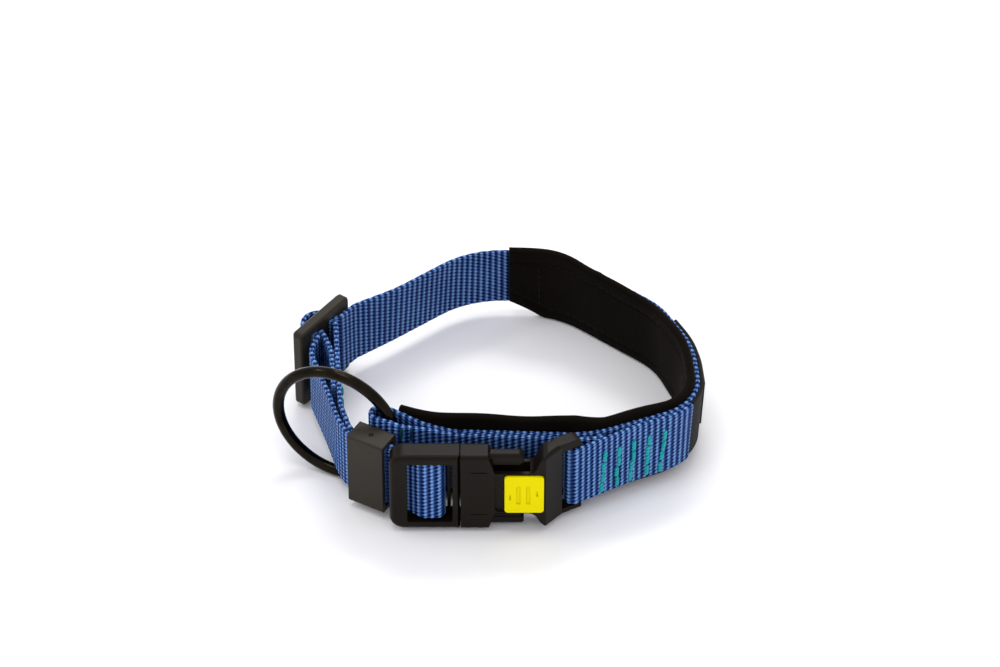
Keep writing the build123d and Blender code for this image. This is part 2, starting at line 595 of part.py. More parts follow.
on_collar = HALF_T + LAYER
WRAP_BAR = (BAR_HALF[0] + FIT_GAP + HALF_T, BAR_HALF[1] + FIT_GAP + HALF_T)
bar_bends = placed(SOCKET_BAR, SOCKET_BAR_HEADING, [
    (-WRAP_BAR[0], WRAP_BAR[1], 1.7), (-WRAP_BAR[0], -WRAP_BAR[1], 2.1)])
folded_under = placed(SOCKET_BAR, SOCKET_BAR_HEADING, [
    (11.4, -0.1, 0), (7.6, -0.3, 4), (2.4, WRAP_BAR[1], 3)])
STRAP_JOINS = (50.5, -36.75, 40)        # where the buckle strap meets the collar


def buckle_strap_at(level):
    """The buckle strap's middle at a height."""
    before, side_front, after = shifted(collar_at(level)[SIDE_REAR_AT - 2:SIDE_REAR_AT + 1],
                                        on_collar)
    return [*folded_under, *bar_bends, STRAP_JOINS,
            *cut_bend(STRAP_JOINS, side_front, after, STRAP_END)]


buckle_strap = leaning_band(buckle_strap_at, WEB_T, WEB_LOW, WEB_HIGH)
finish(buckle_strap, "buckle_strap")


def label_patch_at(level):
    """The patch's middle at a height, on the lined run and the strap's end."""
    front_right, side_front, side_rear, rear_right = shifted(
        collar_at(level)[SIDE_REAR_AT - 2:SIDE_REAR_AT + 2], WEB_T + LAP + PATCH_T / 2)
    end = between(side_rear, rear_right, PATCH_TO)
    bend, start = cut_bend(side_rear, side_front, front_right, LABEL_START + pi)
    return [start, bend, side_rear, end]


label_patch = leaning_band(label_patch_at, PATCH_T, WEB_LOW + PATCH_INSET, WEB_HIGH - PATCH_INSET)
finish(label_patch, "label_patch")


def badge_at(level):
    """The badge's middle at a height, on the patch."""
    walls = shifted(collar_at(level)[SIDE_REAR_AT - 1:SIDE_REAR_AT + 2],
                    WEB_T + LAP + PATCH_T + BADGE_T / 2)
    return [between(walls[0], walls[1], BADGE_FROM), walls[1],
            between(walls[1], walls[2], BADGE_TO)]


label_badge = leaning_band(badge_at, BADGE_T, MID_Z - BADGE_H / 2, MID_Z + BADGE_H / 2)
finish(label_badge, "label_badge")

THREAD = (1.2, 4.0, 0.5)    # a bar tack's width, length and height
THREAD_LIFT = 0.05          # clear of a leaning band's face


def tacks(route_at, distances, heights, proud):
    """Short thick stitches lying on a band's outer side."""
    with BuildPart() as group:
        for distance in distances:
            for height in heights:
                with BuildSketch(station(route_at(height), distance, height, proud)):
                    Rectangle(THREAD[0], THREAD[1])
                extrude(amount=THREAD[2])
    return group


bar_tacks = tacks(buckle_strap_at, [30.0 + 5.75 * i for i in range(5)],
                  [WEB_LOW + 3.4 + 4.5 * i for i in range(4)], HALF_T + THREAD_LIFT)
finish(bar_tacks, "bar_tacks")

ring_loop_stitches = tacks(lambda height: ring_loop_route, [46.5, 49.0],
                           [MID_Z + LIFT - 10.3 + 6.2 * i for i in range(4)], HALF_T)
finish(ring_loop_stitches, "ring_loop_stitches")

sewn_end_stitches = tacks(lambda height: inner_route, [34.0], [MID_Z - 8 + 5.3 * i for i in range(4)],
                          -HALF_T - THREAD[2])
finish(sewn_end_stitches, "sewn_end_stitches")
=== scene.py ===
import math
import random

import bpy
import numpy as np
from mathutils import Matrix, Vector
from mathutils.bvhtree import BVHTree


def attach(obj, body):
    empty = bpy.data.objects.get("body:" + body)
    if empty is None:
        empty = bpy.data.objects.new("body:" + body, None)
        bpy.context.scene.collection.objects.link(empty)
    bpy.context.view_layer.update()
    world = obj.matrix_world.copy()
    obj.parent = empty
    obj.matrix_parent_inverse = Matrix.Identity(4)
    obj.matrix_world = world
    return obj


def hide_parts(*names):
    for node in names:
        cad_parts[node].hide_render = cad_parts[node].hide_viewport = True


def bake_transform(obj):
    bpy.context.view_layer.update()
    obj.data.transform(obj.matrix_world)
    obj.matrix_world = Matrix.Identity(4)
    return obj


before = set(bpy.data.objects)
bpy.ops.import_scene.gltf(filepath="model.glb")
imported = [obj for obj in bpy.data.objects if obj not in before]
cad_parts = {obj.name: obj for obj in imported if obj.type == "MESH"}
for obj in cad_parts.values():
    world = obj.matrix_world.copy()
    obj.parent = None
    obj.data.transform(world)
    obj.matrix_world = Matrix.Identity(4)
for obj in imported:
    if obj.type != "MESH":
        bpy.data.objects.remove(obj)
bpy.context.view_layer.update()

MM = 0.001
RIB = 2.25 * MM             # the webbing's ribs, one after the other along it
ROW = 1.62 * MM             # the warp's rows, one above the other
WEAVE_DEPTH = 0.26 * MM
HALF_WEB = 12.5 * MM        # half the webbing's width
# the small holes between the yarns, in shares of a rib and of a row, and how softly they close
HOLE_AT, HOLE_W, HOLE_H, HOLE_LEAN, HOLE_SOFT = 0.26, 0.30, 0.34, 0.45, 0.6
CREST_AFTER = 0.38          # a rib's crest, in shares of a rib after the hole
RIB_FLOOR, RIB_SWELL = 0.38, 0.62
RIPPLE_MEAN, RIPPLE_DEPTH = 0.84, 0.16
FINE = 0.12 * MM            # step of the lines read from the frame's bands
rng = random.Random(7)


# ------------------------------------------------------------------ camera, floor and light

def camera():
    """The main view: a long lens, 41 degrees above the floor, square on to the buckle."""
    data = bpy.data.cameras.new("camera")
    data.sensor_width = 36
    data.lens = 162
    data.clip_end = 20
    ob = bpy.data.objects.new("camera", data)
    bpy.context.scene.collection.objects.link(ob)
    rise, distance = math.radians(41), 1.605
    target = Vector((0.0034, 0.0445, 0.0))
    ob.location = target + distance * Vector((0, -math.cos(rise), math.sin(rise)))
    ob.rotation_euler = (math.pi / 2 - rise, 0, 0)
    bpy.context.scene.camera = ob


def area(name, place, size, power, colour=(1, 1, 1)):
    """A rectangular lamp that faces the origin."""
    data = bpy.data.lights.new(name, "AREA")
    data.shape = "RECTANGLE"
    data.size, data.size_y = size
    data.energy = power
    data.color = colour
    ob = bpy.data.objects.new(name, data)
    bpy.context.scene.collection.objects.link(ob)
    ob.location = place
    ob.rotation_euler = (-Vector(place)).to_track_quat("-Z", "Y").to_euler()


def studio():
    world = bpy.data.worlds.new("studio")
    bpy.context.scene.world = world
    world.use_nodes = True
    background = world.node_tree.nodes["Background"]
    background.inputs["Color"].default_value = (0.975, 0.965, 1.0, 1)
    background.inputs["Strength"].default_value = 0.93
    area("softbox_back", (0.10, 0.75, 1.05), size=(0.6, 0.3), power=5.2, colour=(1, 0.99, 0.96))
    area("softbox_top", (-0.25, -0.05, 1.5), size=(0.5, 0.5), power=3.6)
    area("softbox_left", (-0.85, 0.05, 0.87), size=(0.15, 0.15), power=1)
    mesh = bpy.data.meshes.new("floor")
    reach, level = 3.0, -0.05 * MM
    corners = [(x * reach, y * reach, level) for x, y in ((-1, -1), (1, -1), (1, 1), (-1, 1))]
    mesh.from_pydata(corners, [], [(0, 1, 2, 3)])
    floor = bpy.data.objects.new("floor", mesh)
    bpy.context.scene.collection.objects.link(floor)
    mat = bpy.data.materials.new("floor_paper")
    mat.use_nodes = True
    shader = mat.node_tree.nodes["Principled BSDF"]
    shader.inputs["Base Color"].default_value = (0.95, 0.95, 0.955, 1)
    shader.inputs["Roughness"].default_value = 0.95
    shader.inputs["Specular IOR Level"].default_value = 0.1
    mesh.materials.append(mat)
    bpy.context.scene.view_settings.view_transform = "Standard"


camera()
studio()


# ------------------------------------------------------------------ materials

class Nodes:
    """Short names for adding shader nodes to one material."""

    def __init__(self, name, roughness, specular=0.5):
        self.mat = bpy.data.materials.new(name)
        self.mat.use_nodes = True
        self.tree = self.mat.node_tree
        self.shader = self.tree.nodes["Principled BSDF"]
        self.shader.inputs["Roughness"].default_value = roughness
        self.shader.inputs["Specular IOR Level"].default_value = specular

    def add(self, kind, **inputs):
        node = self.tree.nodes.new("ShaderNode" + kind)
        for key, value in inputs.items():
            if hasattr(node, key):
                setattr(node, key, value)
            else:
                self.feed(node.inputs[key.replace("_", " ")], value)
        return node

    def feed(self, socket, value):
        if isinstance(value, bpy.types.NodeSocket):
            self.tree.links.new(value, socket)
        else:
            socket.default_value = value

    def math(self, operation, a, b=0.0, c=0.0):
        node = self.tree.nodes.new("ShaderNodeMath")
        node.operation = operation
        for i, value in enumerate((a, b, c)):
            self.feed(node.inputs[i], value)
        return node.outputs[0]

    def noise(self, scale, detail=2.0, roughness=0.5, vector=None):
        node = self.tree.nodes.new("ShaderNodeTexNoise")
        node.inputs["Scale"].default_value = scale
        node.inputs["Detail"].default_value = detail
        node.inputs["Roughness"].default_value = roughness
        if vector is None:
            vector = self.place()
        self.tree.links.new(vector, node.inputs["Vector"])
        return node.outputs["Fac"]

    def place(self):
        if not hasattr(self, "_place"):
            self._place = self.tree.nodes.new("ShaderNodeTexCoord").outputs["Object"]
        return self._place

    def ramp(self, value, stops):
        node = self.tree.nodes.new("ShaderNodeValToRGB")
        elements = node.color_ramp.elements
        while len(elements) < len(stops):
            elements.new(0.5)
        for element, (at, colour) in zip(elements, stops):
            element.position = at
            element.color = (*colour, 1)
        self.feed(node.inputs[0], value)
        return node.outputs[0]

    def span(self, value, low, high):
        """A factor from 0 to 1 turned into a range."""
        node = self.tree.nodes.new("ShaderNodeMapRange")
        self.feed(node.inputs["Value"], value)
        node.inputs["To Min"].default_value = low
        node.inputs["To Max"].default_value = high
        return node.outputs[0]

    def bump(self, height, distance, strength=1.0, normal=None):
        node = self.tree.nodes.new("ShaderNodeBump")
        node.inputs["Strength"].default_value = strength
        node.inputs["Distance"].default_value = distance
        self.feed(node.inputs["Height"], height)
        if normal is not None:
            self.feed(node.inputs["Normal"], normal)
        return node.outputs[0]

    def finish(self, colour, normal, roughness=None, **sockets):
        self.feed(self.shader.inputs["Base Color"], colour)
        self.feed(self.shader.inputs["Normal"], normal)
        if roughness is not None:
            self.feed(self.shader.inputs["Roughness"], roughness)
        for key, value in sockets.items():
            self.feed(self.shader.inputs[key.replace("_", " ")], value)
        return self.mat


def webbing_material():
    """The woven relief once more as fine bump and as colour: painted shade in the holes between the
    yarns and a painted highlight on the ribs' crests, with random yarn tone and the yarns'
    filaments on top.
    """
    n = Nodes("webbing_nylon", roughness=0.5, specular=0.05)
    weave = n.add("Attribute", attribute_name="weave").outputs["Vector"]
    split = n.add("SeparateXYZ", Vector=weave)
    x = n.math("DIVIDE", split.outputs[0], RIB / MM)
    column = n.math("FLOOR", x)
    across = n.math("SUBTRACT", x, column)
    odd = n.math("MODULO", n.math("ABSOLUTE", column), 2.0)
    wobble = n.math("MULTIPLY", n.math("SUBTRACT", n.noise(420, 2.0), 0.5), 0.4)
    y = n.math("MULTIPLY_ADD", split.outputs[1], MM / ROW, n.math("MULTIPLY_ADD", odd, 0.5, wobble))
    y = n.math("SUBTRACT", y, n.math("MULTIPLY", n.math("SUBTRACT", across, HOLE_AT), HOLE_LEAN))
    near = n.math("SUBTRACT", y, n.math("ROUND", y))
    d = n.math("ADD", n.math("POWER", n.math("ABSOLUTE", n.math(
        "DIVIDE", n.math("SUBTRACT", across, HOLE_AT), HOLE_W)), 2.0),
        n.math("POWER", n.math("ABSOLUTE", n.math("DIVIDE", near, HOLE_H)), 2.0))
    hole = n.math("POWER", n.math("MAXIMUM", n.math("SUBTRACT", 1.0, d), 0.0), HOLE_SOFT)
    rib = n.math("MULTIPLY_ADD", n.math("COSINE", n.math(
        "MULTIPLY", n.math("SUBTRACT", across, HOLE_AT + CREST_AFTER), 2 * math.pi)), 0.5, 0.5)
    ripple = n.math("MULTIPLY_ADD", n.math("COSINE", n.math("MULTIPLY", near, 2 * math.pi)),
                    -RIPPLE_DEPTH, RIPPLE_MEAN)
    crest = n.math("MULTIPLY_ADD", rib, RIB_SWELL, RIB_FLOOR)
    height = n.math("MULTIPLY", n.math("MULTIPLY", crest, ripple), n.math("SUBTRACT", 1.0, hole))
    stretch = n.add("VectorMath", operation="MULTIPLY")
    n.feed(stretch.inputs[0], weave)
    stretch.inputs[1].default_value = (1.1, 7.5, 1.0)
    strands = n.noise(1.0, 2.0, 0.6, stretch.outputs[0])
    # painted light: the relief's height sets the colour, dark where shade falls in the holes and
    # light where the crests catch the light; the noise adds random yarn tone
    painted_weave_light_and_tone = n.math("MULTIPLY_ADD", n.math("SUBTRACT", n.noise(70, 3.0), 0.5), 0.22, height)
    painted_weave_light_and_tone = n.math("MULTIPLY_ADD", n.math("SUBTRACT", strands, 0.5), 0.35, painted_weave_light_and_tone)
    # the lowest stops are painted shade for the holes, the top stop a painted highlight on the
    # crests
    colour = n.ramp(painted_weave_light_and_tone, [(0.05, (0.0004, 0.0050, 0.045)), (0.28, (0.0050, 0.025, 0.125)),
                           (0.58, (0.028, 0.086, 0.28)), (0.92, (0.19, 0.34, 0.66))])
    rough = n.span(strands, 0.34, 0.56)
    normal = n.bump(n.math("MULTIPLY_ADD", strands, 0.22, height), 0.3 * MM, 0.85)
    return n.finish(colour, normal, rough)


def neoprene_material():
    n = Nodes("neoprene_jersey", roughness=0.88, specular=0.05)
    knit = n.noise(2600, 2.0, 0.6)
    patches = n.noise(35, 3.0)
    colour = n.ramp(n.math("MULTIPLY_ADD", knit, 0.4, n.math("MULTIPLY", patches, 0.6)),
                    [(0.25, (0.0016, 0.0011, 0.0006)), (0.75, (0.0052, 0.0037, 0.0022))])
    normal = n.bump(n.math("MULTIPLY_ADD", patches, 1.5, knit), 0.12 * MM, 0.8)
    return n.finish(colour, normal, n.span(knit, 0.8, 0.95), Sheen_Weight=0.02,
                    Sheen_Roughness=0.5, Sheen_Tint=(0.75, 0.62, 0.5, 1))


def plastic_material(name, dark, light, roughness, specular, grain=0.05):
    """Moulded plastic: a fine spark-eroded grain, faint flow marks and softened edges."""
    n = Nodes(name, roughness, specular)
    bevel = n.tree.nodes.new("ShaderNodeBevel")
    bevel.samples = 4
    bevel.inputs["Radius"].default_value = 0.45 * MM
    fine = n.noise(3200, 2.0, 0.6)
    flow = n.noise(45, 4.0, 0.55)
    colour = n.ramp(n.math("MULTIPLY_ADD", fine, 0.25, n.math("MULTIPLY", flow, 0.75)),
                    [(0.3, dark), (0.7, light)])
    rough = n.span(n.math("MULTIPLY_ADD", fine, 0.3, n.math("MULTIPLY", flow, 0.7)),
                   roughness - 0.08, roughness + 0.08)
    normal = n.bump(n.math("MULTIPLY_ADD", flow, 1.2, fine), grain * MM, 0.7, bevel.outputs[0])
    return n.finish(colour, normal, rough)


def ring_material():
    n = Nodes("ring_black_nickel", roughness=0.2)
    scuffs = n.noise(130, 5.0, 0.65)
    fine = n.noise(1500, 2.0)
    colour = n.ramp(scuffs, [(0.35, (0.010, 0.008, 0.0055)), (0.8, (0.022, 0.018, 0.0125))])
    rough = n.span(scuffs, 0.05, 0.20)
    return n.finish(colour, n.bump(fine, 0.02 * MM, 0.4), rough, Metallic=1.0)


def thread_material(name, dark, light, specular):
    n = Nodes(name, 0.5, specular)
    weave = n.add("Attribute", attribute_name="weave").outputs["Vector"]
    split = n.add("SeparateXYZ", Vector=weave)
    twist = n.math("SINE", n.math("MULTIPLY_ADD", split.outputs[0], 2 * math.pi / 1.1,
                                  n.math("MULTIPLY", split.outputs[1], 3.0)))
    fibre = n.math("MULTIPLY_ADD", n.noise(1800, 3.0), 0.5,
                   n.math("MULTIPLY_ADD", twist, 0.25, 0.25))
    colour = n.ramp(fibre, [(0.2, dark), (0.75, light)])
    return n.finish(colour, n.bump(fibre, 0.15 * MM, 0.8), Sheen_Weight=0.02)


def badge_material():
    n = Nodes("badge_rubber", roughness=0.55, specular=0.2)
    fine = n.noise(1900, 2.0)
    patches = n.noise(60, 3.0)
    colour = n.ramp(patches, [(0.3, (0.011, 0.010, 0.009)), (0.7, (0.020, 0.018, 0.016))])
    return n.finish(colour, n.bump(fine, 0.04 * MM, 0.6), n.span(patches, 0.46, 0.62))


def patch_material():
    n = Nodes("patch_cloth", roughness=0.8, specular=0.12)
    weave = n.add("Attribute", attribute_name="weave").outputs["Vector"]
    split = n.add("SeparateXYZ", Vector=weave)
    warp = n.math("SINE", n.math("MULTIPLY", split.outputs[0], 2 * math.pi / 0.5))
    weft = n.math("SINE", n.math("MULTIPLY", split.outputs[1], 2 * math.pi / 0.5))
    cloth = n.math("MULTIPLY_ADD", n.math("MULTIPLY", warp, weft), 0.5, 0.5)
    colour = n.ramp(n.math("MULTIPLY_ADD", n.noise(80, 3.0), 0.4, n.math("MULTIPLY", cloth, 0.6)),
                    [(0.2, (0.006, 0.005, 0.005)), (0.8, (0.022, 0.019, 0.017))])
    return n.finish(colour, n.bump(cloth, 0.15 * MM, 0.7), Sheen_Weight=0.03)


MAT = {
    "webbing": webbing_material(),
    "neoprene": neoprene_material(),
    "buckle": plastic_material("acetal_black", (0.0046, 0.0030, 0.0014),
                               (0.0086, 0.0060, 0.0034), roughness=0.32, specular=0.10),
    "keeper": plastic_material("acetal_grey_black", (0.018, 0.0145, 0.0092),
                               (0.029, 0.024, 0.0165), roughness=0.4, specular=0.16),
    "button": plastic_material("acetal_yellow", (0.80, 0.69, 0.0), (0.86, 0.75, 0.0),
                               roughness=0.36, specular=0.04, grain=0.02),
    "ring": ring_material(),
    "teal": thread_material("thread_teal", (0.001, 0.16, 0.19), (0.012, 0.50, 0.53),
                            specular=0.2),
    # the teal thread again, darkened: painted shade for stitches that sit in shadow
    "teal_in_painted_shade": thread_material("thread_teal_in_painted_shade", (0.001, 0.012, 0.022), (0.003, 0.07, 0.10),
                                 specular=0.1),
    "black_thread": thread_material("thread_black", (0.002, 0.0016, 0.0012),
                                    (0.006, 0.005, 0.004), specular=0.08),
    "patch": patch_material(),
    "badge": badge_material(),
}


# ------------------------------------------------------------------ reading bands from the frame

def cad(node):
    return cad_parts[node].data


def welded(mesh):
    """A number for each vertex, shared by those at one place, and the places in that order."""
    ids = {}
    order = [ids.setdefault(tuple(round(c, 7) for c in v.co), len(ids)) for v in mesh.vertices]
    return order, list(ids)


def outline(node, facing):
    """The outline of a band's lower (-1) or upper (+1) face, with the band on its right."""
    mesh = cad(node)
    order, places = welded(mesh)
    edges = set()
    for polygon in mesh.polygons:
        if polygon.normal.z * facing > 0.5:
            corners = [order[i] for i in polygon.vertices][::-facing]
            for a, b in zip(corners, corners[1:] + corners[:1]):
                if (b, a) in edges:
                    edges.remove((b, a))
                else:
                    edges.add((a, b))
    follow = dict(edges)
    start = min(follow)
    loop, at = [], start
    while True:
        loop.append(places[at][:2])
        at = follow[at]
        if at == start:
            break
    return np.array(loop)


def turns(points):
    before = points - np.roll(points, 1, 0)
    after = np.roll(points, -1, 0) - points
    return np.degrees(np.arctan2(before[:, 0] * after[:, 1] - before[:, 1] * after[:, 0],
                                 (before * after).sum(1)))


def resample(points, step):
    lengths = np.concatenate([[0], np.cumsum(np.linalg.norm(np.diff(points, axis=0), axis=1))])
    count = max(2, int(round(lengths[-1] / step)) + 1)
    at = np.linspace(0, lengths[-1], count)
    return np.stack([np.interp(at, lengths, points[:, k]) for k in range(points.shape[1])], 1)


def smooth(values, width):
    """Moving average that keeps both ends where they are."""
    if width < 2:
        return values
    head = 2 * values[0] - values[1:width + 1][::-1]
    tail = 2 * values[-1] - values[-width - 1:-1][::-1]
    padded = np.concatenate([head, values, tail])
    kernel = np.ones(2 * (width // 2) + 1)
    kernel /= kernel.sum()
    if padded.ndim == 1:
        out = np.convolve(padded, kernel, "same")
    else:
        out = np.stack([np.convolve(padded[:, k], kernel, "same")
                        for k in range(padded.shape[1])], 1)
    return out[width:-width]


def normals_of(line):
    """Unit normals on the right of a plan line."""
    d = np.gradient(line, axis=0)
    d /= np.linalg.norm(d, axis=1)[:, None]
    return np.stack([d[:, 1], -d[:, 0]], 1)


def middle_line(node, thickness, facing, start):
    """The middle of a standing band's lower or upper face, as a fine plan line."""
    straight, square_off, length_off = 0.02, 16, 0.06   # degrees, degrees, share of thickness
    loop = outline(node, facing)
    loop = loop[np.abs(turns(loop)) > straight]
    turn = np.abs(turns(loop))
    length = np.linalg.norm(np.roll(loop, -1, 0) - loop, axis=1)
    caps = [i for i in range(len(loop))
            if abs(length[i] - thickness) < length_off * thickness
            and abs(turn[i] - 90) < square_off
            and abs(turn[(i + 1) % len(loop)] - 90) < square_off]
    if len(caps) != 2:
        raise ValueError(f"{node}: {len(caps)} ends found")
    first = (caps[0] + 1) % len(loop)
    side = [loop[first]]
    while (first - caps[1]) % len(loop):
        first = (first + 1) % len(loop)
        side.append(loop[first])
    fine = resample(np.array(side), FINE)
    middle = fine + normals_of(smooth(fine, 5)) * thickness / 2
    middle[0] = fine[0] + normals_of(fine[:2])[0] * thickness / 2
    middle[-1] = fine[-1] + normals_of(fine[-2:])[0] * thickness / 2
    middle = smooth(resample(middle, FINE), 11)
    reach = np.linalg.norm(middle[[0, -1]] - np.array(start) * MM, axis=1)
    return middle[::-1] if reach[0] > reach[1] else middle


class Band:
    """A standing CAD band: its middle line at its lower and upper edge, with both heights."""

    def __init__(self, node, thickness, step, start):
        self.line = resample(middle_line(node, thickness, -1, start), step)
        upper = middle_line(node, thickness, 1, start)
        near = [int(np.argmin(((upper - place) ** 2).sum(1))) for place in self.line]
        near[0], near[-1] = 0, len(upper) - 1
        self.upper = upper[near]
        self.right = normals_of(self.line)
        self.half = thickness / 2
        self.length = float(np.linalg.norm(np.diff(self.line, axis=0), axis=1).sum())
        self.along = np.linspace(0, self.length, len(self.line))
        tree = BVHTree.FromPolygons([v.co for v in cad(node).vertices],
                                    [tuple(p.vertices) for p in cad(node).polygons])
        last = len(self.line) - 1
        below, above = -0.01, 0.08      # the rays start clear of every band
        low, high = [], []
        for i in range(last + 1):
            j = min(max(i, 1), last - 1)
            x, y = self.line[i] * 0.7 + self.line[j] * 0.3
            up = tree.ray_cast(Vector((x, y, below)), Vector((0, 0, 1)))[0]
            x, y = self.upper[i] * 0.7 + self.upper[j] * 0.3
            down = tree.ray_cast(Vector((x, y, above)), Vector((0, 0, -1)))[0]
            low.append(up.z if up else np.nan)
            high.append(down.z if down else np.nan)
        width = max(1, int(2 * MM / step))
        self.low = smooth(fill(np.array(low)), width)
        self.high = smooth(fill(np.array(high)), width)

    def index(self, distance):
        last = len(self.line) - 1
        return int(np.clip(round(distance / self.length * last), 1, last - 1))

    def at(self, distance, z):
        """(place in plan at a height, direction, right) at a distance along the lower line."""
        i = self.index(distance)
        d = self.line[i + 1] - self.line[i - 1]
        share = (z - self.low[i]) / (self.high[i] - self.low[i])
        return (self.line[i] + share * (self.upper[i] - self.line[i]), d / np.linalg.norm(d),
                self.right[i])

    def nearest(self, x, y, z):
        """The distance along the band of its place nearest to a point."""
        share = ((z - self.low) / (self.high - self.low))[:, None]
        line = self.line + share * (self.upper - self.line)
        return self.along[int(np.argmin(((line - (x, y)) ** 2).sum(1)))]


def fill(values):
    good = ~np.isnan(values)
    return np.interp(np.arange(len(values)), np.flatnonzero(good), values[good])


# ------------------------------------------------------------------ making meshes

def new_object(name, verts, faces, material, weave=None, flat=()):
    mesh = bpy.data.meshes.new(name)
    mesh.from_pydata(verts, [], faces)
    mesh.polygons.foreach_set("use_smooth", [True] * len(mesh.polygons))
    for i in flat:
        mesh.polygons[i].use_smooth = False
    if weave is not None:
        attribute = mesh.attributes.new("weave", "FLOAT_VECTOR", "POINT")
        attribute.data.foreach_set("vector", np.asarray(weave, np.float32).ravel())
    mesh.materials.append(material)
    mesh.update()
    ob = bpy.data.objects.new(name, mesh)
    bpy.context.scene.collection.objects.link(ob)
    return ob


def weave_height(u, v):
    """The weave's relief from 0 to 1, for lengths in metres along and across the webbing."""
    x = u / RIB
    column = np.floor(x)
    across = x - column
    y = v / ROW + 0.5 * np.mod(column, 2) - HOLE_LEAN * (across - HOLE_AT)
    near = y - np.round(y)
    d = ((across - HOLE_AT) / HOLE_W) ** 2 + (near / HOLE_H) ** 2
    hole = np.clip(1 - d, 0, 1) ** HOLE_SOFT
    rib = 0.5 + 0.5 * np.cos(2 * np.pi * (across - HOLE_AT - CREST_AFTER))
    ripple = RIPPLE_MEAN - RIPPLE_DEPTH * np.cos(2 * np.pi * near)
    return (RIB_FLOOR + RIB_SWELL * rib) * ripple * (1 - hole)


def sweep_band(name, band, material, rows, edge, relief, edge_points=7, wave=None):
    """A closed band along its middle line, with rounded edges. relief(u, v, side) pushes the
    surface in or out; side is +1 on the right of the line, -1 on its left. wave(u) raises the
    band's top."""
    half, count = band.half, len(band.line)
    across = np.linspace(0, 1, rows)
    angles = np.linspace(0, np.pi, edge_points + 2)[1:-1]
    offset = np.concatenate([np.full(rows, 1.0), np.cos(angles), np.full(rows, -1.0),
                             -np.cos(angles)])
    share = np.concatenate([across, np.ones(edge_points), across[::-1], np.zeros(edge_points)])
    rise = np.concatenate([np.zeros(rows), np.sin(angles), np.zeros(rows), -np.sin(angles)])
    u = band.along[:, None] + 0 * offset[None, :]
    low, high = band.low[:, None] + edge, band.high[:, None] - edge
    z = low + share * (high - low) + rise * edge
    middle = (band.low + band.high)[:, None] / 2
    over = np.minimum(np.arccos(np.clip(np.abs(offset), 0, 1)), np.pi / 2) * half
    v = z - middle + HALF_WEB + np.sign(share - 0.5) * over
    if wave is not None:
        z = z + share * wave(band.along)[:, None]
    side = np.sign(np.where(np.abs(offset) > 0.99, offset, 0.0))
    push = relief(u, v, side[None, :] + 0 * u)
    sideways = offset * half + offset * push
    lean = (z - band.low[:, None]) / (band.high - band.low)[:, None]
    x, y = (band.line[:, k][:, None] + lean * (band.upper - band.line)[:, k][:, None]
            + band.right[:, k][:, None] * sideways for k in (0, 1))
    z = z + rise * push
    verts = np.stack([x, y, z], 2).reshape(-1, 3)
    ring = len(offset)
    a = np.arange(count - 1)[:, None] * ring + np.arange(ring)[None, :]
    b = np.arange(count - 1)[:, None] * ring + (np.arange(ring)[None, :] + 1) % ring
    quads = np.stack([a, a + ring, b + ring, b], 2).reshape(-1, 4)
    faces = quads.tolist()
    faces += [list(range(ring)), list(range((count - 1) * ring, count * ring))[::-1]]
    weave = np.stack([u / MM, v / MM, 0 * u], 2).reshape(-1, 3)
    ob = new_object(name, verts.tolist(), faces, material, weave,
                    flat=(len(faces) - 2, len(faces) - 1))
    fix_facing(ob)
    return ob


def fix_facing(ob):
    """Turn the faces outwards if the mesh came out inside out."""
    mesh = ob.data
    mesh.calc_loop_triangles()
    co = np.array([v.co for v in mesh.vertices])
    tri = np.array([t.vertices for t in mesh.loop_triangles])
    a, b, c = co[tri[:, 0]], co[tri[:, 1]], co[tri[:, 2]]
    if (a * np.cross(b, c)).sum() < 0:
        mesh.flip_normals()


def webbing_relief(u, v, side):
    return (weave_height(u, v) - 1) * WEAVE_DEPTH


# ------------------------------------------------------------------ webbing

WEB_T = 1.8 * MM
STEP = RIB / 4
SLIDER_OUT = (-0.809, 0.588)    # the slider's outer side faces this way in plan


def loosen(band, way, amount):
    """Let a fold stand off in one direction, most of all in its middle."""
    off = amount * np.sin(np.pi * band.along / band.length)[:, None] ** 1.5 * np.array(way)
    band.line = band.line + off
    band.upper = band.upper + off
    band.right = normals_of(band.line)


web = {}
pieces = {}
WEBS = {
    "strap_lined_run": (-10, -40), "strap_ring_loop": (-10, -40), "strap_rear_run": (5, 57),
    "strap_slider_wrap": (-54, 10), "strap_outer_run": (-61, 12), "strap_inner_run": (-54, 15),
    "strap_sewn_end": (-56, 20), "strap_plug_loop": (-40, -46), "buckle_strap": (38, -42)}
for node, start in WEBS.items():
    web[node] = Band(node, WEB_T, STEP, start)
    if node == "strap_slider_wrap":
        loosen(web[node], SLIDER_OUT, 3.4 * MM)
    ob = sweep_band(node + "_webbing", web[node], MAT["webbing"], rows=62, edge=0.55 * MM,
                    relief=webbing_relief)
    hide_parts(node)
    pieces[node] = ob

for node in ("strap_lined_run", "strap_plug_loop", "buckle_strap"):
    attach(pieces[node], "collar")
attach(pieces["strap_slider_wrap"], "adjuster")
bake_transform(pieces["strap_rear_run"])
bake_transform(pieces["strap_outer_run"])
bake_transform(pieces["strap_inner_run"])
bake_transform(pieces["strap_sewn_end"])
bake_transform(pieces["strap_ring_loop"])


# ------------------------------------------------------------------ lining

LINING_SEAM = 5.3 * MM          # the seams run this far inside the lining's edges
LINING_PITCH = 3.2 * MM         # from one stitch to the next
LINING_STITCH = (2.4 * MM, 0.26 * MM, 0.2 * MM)     # length, radius, height
WAVE = 9 * MM                   # the slow ripples in faces and edge


